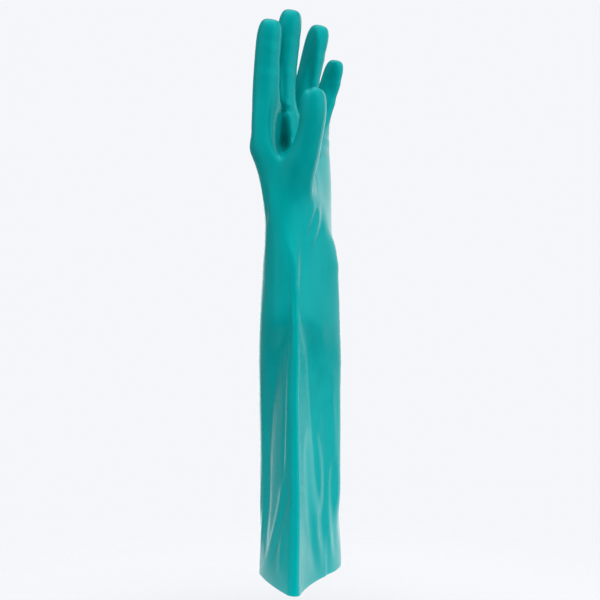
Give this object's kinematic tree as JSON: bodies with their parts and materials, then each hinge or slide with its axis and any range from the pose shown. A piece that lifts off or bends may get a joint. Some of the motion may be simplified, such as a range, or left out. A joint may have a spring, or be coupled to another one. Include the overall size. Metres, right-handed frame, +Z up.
{
  "type": "chemical-resistant gauntlet glove",
  "caption": "Long dipped-rubber gauntlet glove for the left hand, hollow from the open cuff to the fingertips, for handling chemicals.",
  "frame": {"origin": "middle of the cuff's open end, in the plane of its rim", "axes": "+Z up the forearm towards the fingertips, -Y towards the thumb edge, +X towards the palm's side"},
  "size_m": [0.0769, 0.1258, 0.4569],
  "materials": {
    "skin_rubber": "satin teal-green nitrile rubber"
  },
  "bodies": {
    "root": {"glove_skin": "skin_rubber"}
  },
  "joints": []
}
